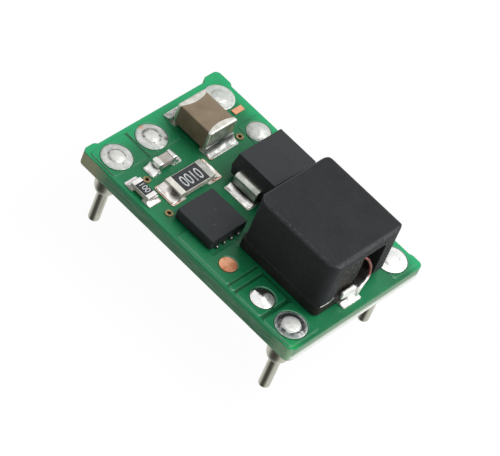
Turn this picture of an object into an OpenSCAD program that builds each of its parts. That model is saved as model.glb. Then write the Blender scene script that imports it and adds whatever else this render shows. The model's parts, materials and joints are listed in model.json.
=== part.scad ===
// Open-frame step-down power module on five through-hole pins.
// Millimetres. The origin is the centre of the pin pattern, in the plane that the pins' collars seat on.
// +X runs along the board towards the inductor, and +Z points away from the pin tips.

/* [Board] */
// Grid that the pins stand on: five steps along X, three along Y
pin_pitch = 3.175; // [3.15:0.005:3.25]
// Board edge beyond the end pins, along X
margin_x = 1.51; // [1.45:0.01:1.8]
// Board edge beyond the side pins, along Y
margin_y = 1.46; // [1.4:0.01:1.8]
// Thickness of the laminate
board_t = 1.1; // [0.8:0.1:1.6]
// Radius of the board's corners
corner_r = 0.5; // [0.3:0.05:0.7]
// Reach of the largest break-off ear past the end edge
ear_reach = 0.3; // [0.2:0.05:0.6]
// Reach of the largest break-off ear past the rear side edge
ear_rise = 0.18; // [0.1:0.02:0.3]
// Copper foil thickness, which also lifts the mask over each copper island
foil_t = 0.07; // [0.05:0.01:0.1]

/* [Pins] */
// Diameter of the pin shaft below the collar
pin_d = 0.8; // [0.6:0.02:0.86]
// Pin length below the collar
pin_reach = 2.8; // [2:0.05:4]
// Diameter of the stand-off collar under the board
collar_d = 1.64; // [1.4:0.02:1.8]
// Height of the stand-off collar, rounded lower edge included
collar_h = 2.03; // [1.2:0.05:2.4]
// Diameter of the spigot that goes through the board
spigot_d = 1.1; // [0.9:0.02:1.1]
// Height of the spigot's domed end above its land
spigot_rise = 0.18; // [0.12:0.02:0.45]
// Diameter of the soldered land round each pin
pad_d = 2.16; // [2:0.02:2.2]

/* [Inductor] */
// Length of the ferrite shield along X
ind_l = 6.9; // [6.6:0.05:7]
// Width of the ferrite shield along Y
ind_w = 6.6; // [6.3:0.05:6.7]
// Height of the inductor above its lands
ind_h = 4.7; // [4.3:0.05:5.5]
// Radius of the shield's upright edges at the diode's end
shield_r = 0.85; // [0.6:0.05:0.95]
// Radius of the shield's upright edges at the board's end
shield_end_r = 0.65; // [0.3:0.05:0.9]
// Radius of the shield's top edges
shield_edge_r = 0.3; // [0.15:0.05:0.5]
// Thickness of the shield's roof
roof_t = 0.85; // [0.7:0.05:1]
// Thickness of the base plate under the shield
base_h = 0.8; // [0.7:0.05:0.9]
// Width of the window in each end of the shield
window_w = 3.84; // [3.6:0.02:3.9]
// Diameter of the winding wire
wire_d = 0.2; // [0.16:0.02:0.24]

/* [Diode] */
// Length of the moulded body along Y, at its parting line
diode_l = 4.2; // [4:0.05:4.3]
// Width of the moulded body along X, at its parting line
diode_w = 3.5; // [3.3:0.05:3.6]
// Height of the diode above its lands
diode_h = 2.13; // [2:0.01:2.4]
// Draft of the mould above and below the parting line, in degrees
diode_draft = 8; // [4:0.5:10]
// Width of the ribbon leads
diode_lead_w = 2; // [1.8:0.05:2.2]
// Thickness of the ribbon leads
diode_lead_t = 0.22; // [0.16:0.02:0.26]

/* [Controller] */
// Side of the square moulded body
ic_w = 3.2; // [3.1:0.02:3.3]
// Height of the body above its lands
ic_h = 0.78; // [0.7:0.02:1]
// Spacing of the leads along each side
ic_pitch = 0.65; // [0.6:0.01:0.7]
// Width of one lead
ic_lead_w = 0.32; // [0.26:0.02:0.36]

/* [Chip parts] */
// Input capacitor: length along X
cap_l = 3.1; // [3:0.02:3.2]
// Input capacitor: width along Y
cap_w = 2.48; // [2.4:0.02:2.52]
// Input capacitor: height
cap_h = 1.73; // [1.5:0.01:2.2]
// Bypass capacitor: length along Y
bypass_l = 1.6; // [1.54:0.02:1.64]
// Bypass capacitor: width along X
bypass_w = 0.8; // [0.76:0.02:0.84]
// Bypass capacitor: height
bypass_h = 0.72; // [0.6:0.01:0.85]
// Sense resistor: length along Y
sense_l = 3.15; // [3.1:0.01:3.2]
// Sense resistor: width along X
sense_w = 1.5; // [1.46:0.01:1.6]
// Sense resistor: height over the end caps
sense_h = 0.55; // [0.5:0.01:0.65]
// Set resistor: length along X
set_l = 1.6; // [1.56:0.01:1.64]
// Set resistor: width along Y
set_w = 0.78; // [0.76:0.01:0.84]
// Set resistor: height over the end caps
set_h = 0.42; // [0.38:0.01:0.5]

/* [Hidden] */
$fn = 48;
eps = 0.01;

// Pin places, numbered from the three-pin end
pin_x = 2.5 * pin_pitch;
pin_y = 1.5 * pin_pitch;
PINS = [
    [-pin_x, -pin_y],
    [-pin_x, -pin_y + pin_pitch],
    [-pin_x, pin_y],
    [pin_x, -pin_y],
    [pin_x, pin_y]
];
pin_tip_r = pin_d / 5;
collar_round_h = 0.8;
solder_climb = 0.6;

// Board: it stands on the collars, and everything soldered on its top face stands on the foil
board_l = 2 * (pin_x + margin_x);
board_w = 2 * (pin_y + margin_y);
board_z = collar_h + foil_t;
top_z = board_z + board_t;
seat_z = top_z + foil_t;
ear_l = 1.3;
ear_r = 0.4;
small_ear = 0.62;

// Plated holes: those of the pins and the two dots are filled with solder, the vias are open
hole_gap = 0.08;
hole_d = spigot_d + 2 * hole_gap;
dot_hole_d = 0.8;
dot_d = 1.66;
dot_rise = 0.3;
DOT_FRONT = [pin_x - 2.52, -pin_y];
DOT_REAR = [3.52 - pin_x, pin_y + 0.18];
via_hole_d = 0.42;
via_bore_d = 0.26;
via_d = 0.54;
VIAS = [[2.41 - pin_x, 0.4 - pin_y], [5.16 - pin_x, -pin_y - 0.31], [3.14 - pin_x, pin_y - 1.21]];

// Places of the parts on the board, measured from the pins that they stand by
IND = [pin_x - 3.04, 0.25];
DIODE = [-1.22, pin_y - 2.16];
IC = [-0.78, 1.39 - pin_y];
CAP = [1.29 - pin_x, pin_y - 3.02];
BYPASS = [2.04 - pin_x, 2.16 - pin_y];
SENSE = [4.04 - pin_x, 2.56 - pin_y];
SET = [3 - pin_x, -pin_y - 0.58];

// Bare copper marks: a plain disc and a plain bar
DISC_MARK = [pin_x - 5.64, -pin_y];
disc_d = 1.2;
BAR_MARK = [1.44 - pin_x, pin_y + 0.34];
bar_size = [0.42, 0.9];

// Lands as [size along X, size along Y], and how far each one reaches past the end of its part
cap_land = [1.15, 2.7];
cap_reach = 0.68;
bypass_land = [0.95, 0.85];
bypass_reach = 0.55;
sense_land = [1.8, 1.25];
sense_reach = 0.7;
set_land = [0.8, 1.1];
set_reach = 0.4;
diode_land = [diode_lead_w + 0.25, 1.7];
diode_reach = 0.55;
ic_land = [0.5, ic_lead_w + 0.04];
ic_reach = 0.12;
ind_land = [1.35, 1.7];
ind_land_y = -0.3;
ind_reach = 0.45;
land_r = 0.13;
mask_gap = 0.06;

// Solder: how far it stops inside the edge of its land, and how high it climbs each kind of end
wet_gap = 0.04;
sense_rim = 0.1;
land_solder_h = 0.2;
diode_solder_h = 0.25;
cap_climb = 0.35;
bypass_climb = 0.6;
resistor_climb = 0.75;
ic_climb = 0.8;

// Copper islands that stand up under the mask, each as [low x, high x, low y, high y]
island_r = 0.2;
ISLANDS = [
    [-pin_x - 1.15, -pin_x + 1.12, -pin_y - 1.25, -pin_y + 1.78],
    [-pin_x - 1.15, -pin_x + 1.12, -pin_y + 1.98, -pin_y + pin_pitch + 1.7],
    [DISC_MARK.x - 3.45, DISC_MARK.x + 1.1, -pin_y - 1.2, -pin_y - 0.33],
    [DISC_MARK.x - 1.05, DISC_MARK.x + 1.1, -pin_y - 1.2, -pin_y + 1.55],
    [DISC_MARK.x + 1.25, DISC_MARK.x + 1.68, -pin_y - 1.24, -pin_y + 1.55],
    [DOT_FRONT.x - 1.25, DOT_FRONT.x + 0.9, -pin_y - 1.24, -pin_y + 1.3],
    [pin_x - 1.3, pin_x + 1.2, -pin_y - 1.26, -pin_y + 1.38],
    [pin_x - 1.25, pin_x + 1.18, pin_y - 0.95, pin_y + 1.25],
    [DOT_REAR.x - 1.08, DOT_REAR.x + 0.95, DOT_REAR.y - 0.9, DOT_REAR.y + 1.05]
];

// Inductor: a drum core stands on the base plate, and the shield is lowered over it
shield_h = ind_h - base_h;
side_wall = 0.525;
end_wall = 0.675;
cavity_d = min(ind_l - 2 * end_wall, ind_w - 2 * side_wall);
cavity_h = shield_h - roof_t;
window_r = 0.4;
drum_gap = 0.12;
core_d = cavity_d - 2 * drum_gap;
flange_h = 0.5;
waist_d = 2.4;
wound_inset = 0.175;
wound_d = core_d - 2 * wound_inset;
wound_h = cavity_h - 2 * flange_h;
turn_space = 1.1 * wire_d;
turns = floor(wound_h / turn_space);
joint_d = 1.03 * wire_d;
base_r = 0.4;
base_notch_l = 0.36;
base_notch_y = 1.75;

// Terminal clip: a strip under the base, turned up outside it, with an ear beside the upright
term_w = 0.84;
term_y = -0.1;
term_t = 0.15;
term_gap = 0.03;
term_run = 1.35;
term_rise = 0.75;
term_solder_h = 0.7;
term_ear_l = 0.63;
term_ear_w = 0.55;
term_ear_top = 1.05;
term_face = term_gap + term_t;

// Winding end, from the coil out through the window and down to the terminal,
// each point as [out from the shield's end face, along Y from the inductor's centre, up from the lands]
wire_gap = 0.02;
wire_out = term_face + wire_d / 2 + wire_gap;
LEAD_OUT = [
    [wound_d / 2 - ind_l / 2, 0.49, base_h + 1.82],
    [-0.45, 0.93, base_h + 1.8],
    [-0.28, 1.15, base_h + 1.56],
    [-0.13, 1.4, base_h + 1.02],
    [-0.03, 1.42, base_h + 0.6],
    [0.06, 1.34, base_h + 0.32],
    [0.16, 1.05, base_h + 0.17],
    [0.26, 0.63, base_h + 0.17],
    [wire_out, 0.34, base_h + 0.14],
    [wire_out, 0.24, base_h - 0.18],
    [wire_out, 0.2, base_h - 0.56]
];

// Adhesive that closes one side of each window
glue_w = 2.05;
glue_back = 0.14;
glue_gap = 0.01;

// Diode: the leads leave at the parting line, turn down and run back under the body
diode_gap = 0.03;
diode_lift = diode_lead_t + diode_gap;
diode_split = 1.05;
diode_out = 0.45;
diode_bend_r = 0.34;
diode_foot = 1.1;
diode_die = [2, 2, 0.3];
diode_step_gap = 0.15;
diode_tongue = 1.8;

// Controller: leads and heat pad lie flush with the underside of the body
ic_leads = 4;
ic_lead_l = 0.42;
ic_lead_t = 0.2;
ic_lead_out = 0.04;
ic_pad = [1.7, 2.4];
ic_die = [1.3, 1.8, 0.25];
ic_edge_r = 0.06;

// Chip parts: plated end caps and the resistors' top coat
plate_t = 0.05;
coat_t = 0.07;
coat_side_gap = 0.06;
coat_end_gap = 0.01;
chip_r = 0.09;
cap_band = 0.52;
cap_band_r = 3;
bypass_band = 0.36;
bypass_band_r = 1.2;
sense_band = 0.48;
set_band = 0.32;

// Quarter curve from [0, 0] to [run, rise]: flat at its start, upright at its end
function sweep_up(run, rise, steps = 6) =
    [for (k = [0 : steps]) [run * sin(90 * k / steps), rise * (1 - cos(90 * k / steps))]];

// Quarter curve from [r, 0] to [0, rise]: upright at its start, flat at its end
function quarter_dome(r, rise, steps = 6) =
    [for (k = [0 : steps]) [r * cos(90 * k / steps), rise * sin(90 * k / steps)]];

// Place of lead i along a side of the controller
function ic_lead_y(i) = (i - (ic_leads - 1) / 2) * ic_pitch;

// Section of a moulded body, wide at the parting line and drafted above and below it
function mould_section(w, split, h, draft) = [
    [-w / 2 + split * tan(draft), 0],
    [w / 2 - split * tan(draft), 0],
    [w / 2, split],
    [w / 2 - (h - split) * tan(draft), h],
    [-w / 2 + (h - split) * tan(draft), h],
    [-w / 2, split]
];

// Rectangle with round corners, centred
module soft_rect(w, d, r) {
    square([w - 2 * r, d], center = true);
    square([w, d - 2 * r], center = true);
    for (sx = [-1, 1], sy = [-1, 1])
        translate([sx * (w / 2 - r), sy * (d / 2 - r)])
            circle(r);
}

// Extrusion of a section drawn in YZ, along X and centred on X = 0
module along_x(l) {
    translate([-l / 2, 0, 0])
        rotate([90, 0, 90])
            linear_extrude(l)
                children();
}

// Extrusion of a section drawn in XZ, along Y and centred on Y = 0
module along_y(l) {
    translate([0, l / 2, 0])
        rotate([90, 0, 0])
            linear_extrude(l)
                children();
}

// Block on z = 0 with every edge rounded, as tumbled ceramic is
module tumbled_block(l, w, h, r) {
    intersection() {
        linear_extrude(h)
            soft_rect(l, w, r);
        along_y(w)
            translate([0, h / 2])
                soft_rect(l, h, r);
        along_x(l)
            translate([0, h / 2])
                soft_rect(w, h, r);
    }
}

// Hollow solder fillet on z = 0 against the plane x = 0, reaching out along +X
module fillet(w, reach, rise) {
    along_y(w)
        polygon(concat(
            [[0, 0]],
            [for (p = sweep_up(reach, rise)) [reach - p.x, p.y]]
        ));
}

// Wire from p to q, with a ball at p that rounds the turn
module wire(p, q) {
    v = q - p;
    reach = norm(v);
    translate(p) {
        rotate([0, acos(v.z / reach), atan2(v.y, v.x)])
            cylinder(d = wire_d, h = reach);
        sphere(d = joint_d);
    }
}

// One land at the end of a part of length l, on the side that dir points to, grown by g
module land(place, dir, l, size, reach, g) {
    depth = dir.x == 0 ? size.y : size.x;
    translate(place + dir * (l / 2 + reach - depth / 2))
        soft_rect(size.x + 2 * g, size.y + 2 * g, min(land_r, size.x / 4, size.y / 4) + g);
}

// All solderable copper on the top face, grown by g
module lands_outline(g = 0) {
    for (p = PINS)
        translate(p)
            circle(d = pad_d + 2 * g);
    for (p = [DOT_FRONT, DOT_REAR])
        translate(p)
            circle(d = dot_d + 2 * g);
    for (s = [-1, 1]) {
        land(CAP, [s, 0], cap_l, cap_land, cap_reach, g);
        land(BYPASS, [0, s], bypass_l, bypass_land, bypass_reach, g);
        land(SENSE, [0, s], sense_l, sense_land, sense_reach, g);
        land(SET, [s, 0], set_l, set_land, set_reach, g);
        land(DIODE, [0, s], diode_l + 2 * diode_out, diode_land, diode_reach, g);
        land(IND + [0, ind_land_y], [s, 0], ind_l + 2 * term_face, ind_land, ind_reach, g);
        for (i = [0 : ic_leads - 1])
            land(IC + [0, ic_lead_y(i)], [s, 0], ic_w + 2 * ic_lead_out, ic_land, ic_reach, g);
    }
    translate(IC)
        square(ic_pad + [2 * g, 2 * g], center = true);
}

// Bare copper marks, grown by g
module marks_outline(g = 0) {
    translate(DISC_MARK)
        circle(d = disc_d + 2 * g);
    translate(BAR_MARK)
        square(bar_size + [2 * g, 2 * g], center = true);
}

// Plated holes that solder fills
module filled_holes_outline() {
    for (p = PINS)
        translate(p)
            circle(d = hole_d);
    for (p = [DOT_FRONT, DOT_REAR])
        translate(p)
            circle(d = dot_hole_d);
}

// Board edge: a rectangle with round corners and a large and two small break-off ears
module board_outline() {
    soft_rect(board_l, board_w, corner_r);
    ear(-1, 1, ear_reach, ear_rise);
    ear(-1, -1, small_ear * ear_reach, 0);
    ear(1, 1, 0, small_ear * ear_rise);
}

// Break-off ear at the corner that sx and sy point to, standing out past its two edges
module ear(sx, sy, past_x, past_y) {
    translate([sx * (board_l - ear_l + past_x) / 2, sy * (board_w - ear_l + past_y) / 2])
        soft_rect(ear_l + past_x, ear_l + past_y, ear_r);
}

module islands_outline() {
    for (b = ISLANDS)
        translate([(b[0] + b[1]) / 2, (b[2] + b[3]) / 2])
            soft_rect(b[1] - b[0], b[3] - b[2], island_r);
}

// Masked laminate with its holes; the islands stay clear of every bare land
module board() {
    color("#2a8a58") {
        translate([0, 0, board_z])
            linear_extrude(board_t)
                difference() {
                    board_outline();
                    filled_holes_outline();
                    for (p = VIAS)
                        translate(p)
                            circle(d = via_hole_d);
                }
        translate([0, 0, top_z - eps])
            linear_extrude(foil_t + eps)
                difference() {
                    islands_outline();
                    lands_outline(mask_gap);
                    marks_outline(mask_gap);
                    for (p = VIAS)
                        translate(p)
                            circle(d = via_d + 2 * mask_gap);
                }
    }
}

// Bare copper on both faces
module copper_lands() {
    color("#d99a6c") {
        translate([0, 0, top_z])
            linear_extrude(foil_t)
                difference() {
                    union() {
                        lands_outline();
                        marks_outline();
                    }
                    filled_holes_outline();
                }
        translate([0, 0, collar_h])
            linear_extrude(foil_t)
                difference() {
                    for (p = PINS)
                        translate(p)
                            circle(d = pad_d);
                    filled_holes_outline();
                }
    }
}

// Turned pin: domed spigot, collar with a rounded lower edge, shaft, round tip
module pin(i) {
    round_h = min(collar_round_h, collar_h / 2);
    step = (collar_d - pin_d) / 2;
    bowl = [for (p = sweep_up(step, round_h)) [pin_d / 2 + p.x, p.y]];
    dome = [for (p = quarter_dome(spigot_d / 2, (1 - solder_climb) * spigot_rise))
        [p.x, seat_z + solder_climb * spigot_rise + p.y]];
    color("#b3b09c")
        translate(PINS[i])
            rotate_extrude() {
                polygon(concat(
                    [[0, 0]],
                    bowl,
                    [[collar_d / 2, collar_h], [spigot_d / 2, collar_h]],
                    dome
                ));
                translate([0, pin_tip_r - pin_reach])
                    square([pin_d / 2, pin_reach - pin_tip_r + eps]);
                translate([0, -pin_reach])
                    square([pin_d / 2 - pin_tip_r, 2 * pin_tip_r]);
                translate([pin_d / 2 - pin_tip_r, pin_tip_r - pin_reach])
                    circle(pin_tip_r);
            }
}

// Solder that fills a pin's hole and climbs from the land to the spigot
module pin_solder(i) {
    climb = sweep_up((pad_d - spigot_d) / 2, solder_climb * spigot_rise);
    color("#c9c9c6")
        translate(PINS[i])
            rotate_extrude()
                polygon(concat(
                    [[spigot_d / 2, collar_h], [hole_d / 2, collar_h], [hole_d / 2, seat_z]],
                    [for (p = climb) [pad_d / 2 - p.x, seat_z + p.y]]
                ));
}

// Solder dome on a filled hole
module solder_dot(place) {
    color("#d6d6d2")
        translate(place)
            rotate_extrude()
                polygon(concat(
                    [[0, board_z], [dot_hole_d / 2, board_z], [dot_hole_d / 2, seat_z]],
                    [for (p = quarter_dome(dot_d / 2, dot_rise)) [p.x, seat_z + p.y]]
                ));
}

// Plated barrel with a ring on each face
module via(i) {
    color("#b08a50")
        translate(VIAS[i])
            difference() {
                union() {
                    translate([0, 0, board_z - eps])
                        cylinder(d = via_hole_d, h = board_t + 2 * eps);
                    for (z = [collar_h, top_z])
                        translate([0, 0, z])
                            cylinder(d = via_d, h = foil_t);
                }
                cylinder(d = via_bore_d, h = seat_z + 1);
            }
}

// Puts its children on the base plate, at the inductor's centre
module on_base() {
    translate([IND.x, IND.y, seat_z + base_h])
        children();
}

// Puts its children at both ends of the inductor, or at one: X points out from the shield's end face
module at_ends(sides = [0, 1]) {
    for (s = sides)
        translate([IND.x, IND.y, seat_z])
            mirror([s, 0, 0])
                translate([ind_l / 2, 0, 0])
                    children();
}

// Shield from above: rounder at the diode's end than at the board's end
module shield_outline() {
    soft_rect(ind_l, ind_w, shield_r);
    translate([ind_l / 4, 0])
        soft_rect(ind_l / 2, ind_w, shield_end_r);
}

module window_outline(gap = 0) {
    soft_rect(window_w - 2 * gap, 2 * (cavity_h - gap), window_r - gap);
}

// Ferrite shield: a cap with rounded edges, a round cavity and a window through both ends
module inductor_shield() {
    color("#38393b")
        on_base()
            difference() {
                intersection() {
                    linear_extrude(shield_h)
                        shield_outline();
                    along_y(ind_w)
                        soft_rect(ind_l, 2 * shield_h, shield_edge_r);
                    along_x(ind_l)
                        soft_rect(ind_w, 2 * shield_h, shield_edge_r);
                }
                translate([0, 0, -1])
                    cylinder(d = cavity_d, h = cavity_h + 1);
                along_x(ind_l + 2)
                    window_outline();
            }
}

// Drum core: two flanges on a waist
module inductor_core() {
    color("#303134")
        on_base() {
            cylinder(d = core_d, h = flange_h);
            cylinder(d = waist_d, h = cavity_h);
            translate([0, 0, cavity_h - flange_h])
                cylinder(d = core_d, h = flange_h);
        }
}

// Wound coil with both ends led out through the windows
module inductor_winding() {
    color("#7a2a22") {
        on_base()
            translate([0, 0, flange_h])
                rotate_extrude() {
                    translate([waist_d / 2, 0])
                        square([(wound_d - waist_d - wire_d) / 2, wound_h]);
                    for (k = [0 : turns - 1])
                        translate([(wound_d - wire_d) / 2, (k + 0.5) * wound_h / turns])
                            circle(d = wire_d);
                }
        at_ends()
            winding_end();
    }
}

module winding_end() {
    for (k = [0 : len(LEAD_OUT) - 2])
        wire(LEAD_OUT[k], LEAD_OUT[k + 1]);
}

// Base plate: grooved for the terminals, cut back under one pillar at each end
module inductor_base() {
    color("#2a2624")
        difference() {
            translate([IND.x, IND.y, seat_z])
                linear_extrude(base_h)
                    soft_rect(ind_l, ind_w, base_r);
            at_ends() {
                translate([-base_notch_l, base_notch_y, -1])
                    cube([base_notch_l + 1, ind_w, base_h + 2]);
                translate([-term_run, term_y - term_w / 2, -1])
                    cube([term_run + 1, term_w, term_t + 1]);
            }
        }
}

// Clip that takes a winding end
module terminal(side) {
    color("#dcdcd8")
        at_ends([side]) {
            translate([-term_run, term_y - term_w / 2, 0])
                cube([term_run + term_face, term_w, term_t]);
            translate([term_gap, term_y - term_w / 2, 0])
                cube([term_t, term_w, term_rise]);
            translate([term_gap, term_y - term_w / 2 - term_ear_l, term_ear_top - term_ear_w])
                cube([term_t, term_ear_l + term_w / 2, term_ear_w]);
        }
}

// Adhesive between the drum and the shield, on the side of each window away from the wire
module inductor_adhesive() {
    color("#45433f")
        for (turn = [0, 1])
            on_base()
                mirror([turn, 0, 0])
                    difference() {
                        intersection() {
                            along_x(ind_l - 2 * glue_back)
                                window_outline(glue_gap);
                            translate([0, -window_w / 2, glue_gap])
                                cube([ind_l, glue_w, cavity_h]);
                        }
                        translate([0, 0, -1])
                            cylinder(d = core_d + 2 * glue_gap, h = cavity_h + 2);
                    }
}

// Solder from the lands up the terminals and round the wire ends
module inductor_solder() {
    color("#d6d6d2")
        at_ends()
            difference() {
                union() {
                    translate([term_face, term_y, 0])
                        fillet(term_w, ind_reach - wet_gap, term_solder_h);
                    translate([term_face, ind_land_y, 0])
                        fillet(ind_land.y - 2 * wet_gap, ind_reach - wet_gap, land_solder_h);
                }
                winding_end();
            }
}

// Puts its children on the diode's lands, front or rear lead side turned to +Y
module at_diode(side = 1) {
    translate([DIODE.x, DIODE.y, seat_z])
        mirror([0, side < 0 ? 1 : 0, 0])
            children();
}

// Moulded body, cleared for the die and for both leads
module diode_body() {
    mould_h = diode_h - diode_lift;
    split = diode_split - diode_lift;
    color("#2c2d2f")
        difference() {
            at_diode()
                translate([0, 0, diode_lift])
                    intersection() {
                        along_y(diode_l)
                            polygon(mould_section(diode_w, split, mould_h, diode_draft));
                        along_x(diode_w)
                            polygon(mould_section(diode_l, split, mould_h, diode_draft));
                    }
            diode_die();
            diode_lead(-1);
            diode_lead(1);
        }
}

// Silicon die between the tongues of the two leads
module diode_die() {
    color("#8a8d92")
        at_diode()
            translate([-diode_die.x / 2, -diode_die.y / 2, diode_split + diode_lead_t / 2])
                cube(diode_die);
}

// Quarter ring of a ribbon bend, in the first quadrant
module ribbon_bend() {
    intersection() {
        difference() {
            circle(diode_bend_r);
            circle(diode_bend_r - diode_lead_t);
        }
        square(diode_bend_r);
    }
}

// Ribbon lead: a tongue to the die, out at the parting line, round a bend, down, and back under the body
module diode_lead(side) {
    top = diode_split + diode_lead_t / 2;
    face = diode_l / 2 + diode_out;
    bend_y = face - diode_bend_r;
    step_y = diode_die.y / 2 + diode_step_gap;
    tongue_z = side < 0 ? top - diode_lead_t : top + diode_die.z;
    color("#d8d7d0")
        at_diode(side)
            along_x(diode_lead_w) {
                translate([step_y - diode_tongue, tongue_z])
                    square([diode_tongue + diode_lead_t, diode_lead_t]);
                translate([step_y, top - diode_lead_t])
                    square([diode_lead_t, tongue_z - top + 2 * diode_lead_t]);
                translate([step_y, top - diode_lead_t])
                    square([bend_y - step_y, diode_lead_t]);
                translate([bend_y, top - diode_bend_r])
                    ribbon_bend();
                translate([face - diode_lead_t, diode_bend_r])
                    square([diode_lead_t, top - 2 * diode_bend_r]);
                translate([bend_y, diode_bend_r])
                    mirror([0, 1])
                        ribbon_bend();
                translate([face - diode_foot, 0])
                    square([diode_foot - diode_bend_r, diode_lead_t]);
            }
}

module diode_solder() {
    color("#d6d6d2")
        for (side = [-1, 1])
            at_diode(side)
                translate([0, diode_l / 2 + diode_out, 0])
                    rotate([0, 0, 90])
                        fillet(diode_land.x - 2 * wet_gap, diode_reach - wet_gap, diode_solder_h);
}

// Puts its children at each controller lead: X points out of the body
module at_ic_leads() {
    for (s = [0, 1], i = [0 : ic_leads - 1])
        translate([IC.x, IC.y + ic_lead_y(i), seat_z])
            mirror([s, 0, 0])
                translate([ic_w / 2, 0, 0])
                    children();
}

module controller_body() {
    color("#2b2c2e")
        difference() {
            translate([IC.x, IC.y, seat_z])
                tumbled_block(ic_w, ic_w, ic_h, ic_edge_r);
            controller_leads();
            controller_heat_pad();
            controller_die();
        }
}

module controller_leads() {
    color("#d0cfc9")
        at_ic_leads()
            translate([-ic_lead_l, -ic_lead_w / 2, 0])
                cube([ic_lead_l + ic_lead_out, ic_lead_w, ic_lead_t]);
}

module controller_heat_pad() {
    color("#c9a27a")
        translate([IC.x - ic_pad.x / 2, IC.y - ic_pad.y / 2, seat_z])
            cube([ic_pad.x, ic_pad.y, ic_lead_t]);
}

module controller_die() {
    color("#8a8d92")
        translate([IC.x - ic_die.x / 2, IC.y - ic_die.y / 2, seat_z + ic_lead_t])
            cube(ic_die);
}

module controller_solder() {
    color("#d6d6d2")
        at_ic_leads()
            translate([ic_lead_out, 0, 0])
                fillet(ic_lead_w, ic_reach, ic_climb * ic_lead_t);
}

// Ceramic of a chip capacitor lying along X, inside its plated ends
module chip_ceramic(l, w, h) {
    translate([0, 0, plate_t])
        tumbled_block(l - 2 * plate_t, w - 2 * plate_t, h - 2 * plate_t, chip_r);
}

// Plated end of a chip capacitor, at +X: a cup with a bowed rim
module chip_cup(l, w, h, band, bow_r) {
    difference() {
        intersection() {
            tumbled_block(l, w, h, chip_r + plate_t);
            translate([l / 2 - band + bow_r, 0, -1])
                cylinder(r = bow_r, h = h + 2);
        }
        chip_ceramic(l, w, h);
    }
}

// Ceramic of a chip resistor lying along X
module resistor_ceramic(l, w, h) {
    translate([plate_t - l / 2, -w / 2, plate_t])
        cube([l - 2 * plate_t, w, h - 2 * plate_t]);
}

// Plated end of a chip resistor, at +X: wraps under, up and over the ceramic
module resistor_end(l, w, h, band) {
    difference() {
        along_y(w)
            translate([l / 2 - band / 2, h / 2])
                soft_rect(band, h, plate_t / 2);
        translate([-l / 2, -w, plate_t])
            cube([l - plate_t, 2 * w, h - 2 * plate_t]);
    }
}

// Top coat of a chip resistor, between its plated ends
module resistor_coat(l, w, h, band) {
    along_y(w - 2 * coat_side_gap)
        translate([0, h - plate_t + coat_t / 2])
            square([l - 2 * (band + coat_end_gap), coat_t], center = true);
}

module at_cap() {
    translate([CAP.x, CAP.y, seat_z])
        children();
}

module at_bypass() {
    translate([BYPASS.x, BYPASS.y, seat_z])
        rotate([0, 0, 90])
            children();
}

module at_sense() {
    translate([SENSE.x, SENSE.y, seat_z])
        rotate([0, 0, 90])
            children();
}

module at_set() {
    translate([SET.x, SET.y, seat_z])
        children();
}

// Solder at both ends of a chip of length l
module chip_solder(l, w, reach, rise) {
    color("#d6d6d2")
        for (s = [0, 1])
            mirror([s, 0, 0])
                translate([l / 2, 0, 0])
                    fillet(w, reach - wet_gap, rise);
}

module input_capacitor_body() {
    color("#7d6d58")
        at_cap()
            chip_ceramic(cap_l, cap_w, cap_h);
}

module input_capacitor_end(side) {
    color("#d2d0c8")
        at_cap()
            mirror([side < 0 ? 1 : 0, 0, 0])
                chip_cup(cap_l, cap_w, cap_h, cap_band, cap_band_r);
}

module input_capacitor_solder() {
    at_cap()
        chip_solder(cap_l, cap_land.y - 2 * wet_gap, cap_reach, cap_climb * cap_h);
}

module bypass_capacitor_body() {
    color("#8f8a80")
        at_bypass()
            chip_ceramic(bypass_l, bypass_w, bypass_h);
}

module bypass_capacitor_end(side) {
    color("#d2d0c8")
        at_bypass()
            mirror([side < 0 ? 1 : 0, 0, 0])
                chip_cup(bypass_l, bypass_w, bypass_h, bypass_band, bypass_band_r);
}

module bypass_capacitor_solder() {
    at_bypass()
        chip_solder(bypass_l, bypass_land.x - 2 * wet_gap, bypass_reach, bypass_climb * bypass_h);
}

module sense_resistor_body() {
    color("#d9d6cc")
        at_sense()
            resistor_ceramic(sense_l, sense_w, sense_h);
}

module sense_resistor_coat() {
    color("#26282a")
        at_sense()
            resistor_coat(sense_l, sense_w, sense_h, sense_band);
}

module sense_resistor_end(side) {
    color("#d2d0c8")
        at_sense()
            mirror([side < 0 ? 1 : 0, 0, 0])
                resistor_end(sense_l, sense_w, sense_h, sense_band);
}

module sense_resistor_solder() {
    at_sense()
        chip_solder(sense_l, sense_land.x - 2 * sense_rim, sense_reach, resistor_climb * sense_h);
}

module set_resistor_body() {
    color("#d9d6cc")
        at_set()
            resistor_ceramic(set_l, set_w, set_h);
}

module set_resistor_coat() {
    color("#26282a")
        at_set()
            resistor_coat(set_l, set_w, set_h, set_band);
}

module set_resistor_end(side) {
    color("#d2d0c8")
        at_set()
            mirror([side < 0 ? 1 : 0, 0, 0])
                resistor_end(set_l, set_w, set_h, set_band);
}

module set_resistor_solder() {
    at_set()
        chip_solder(set_l, set_land.y - 2 * wet_gap, set_reach, resistor_climb * set_h);
}

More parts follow.
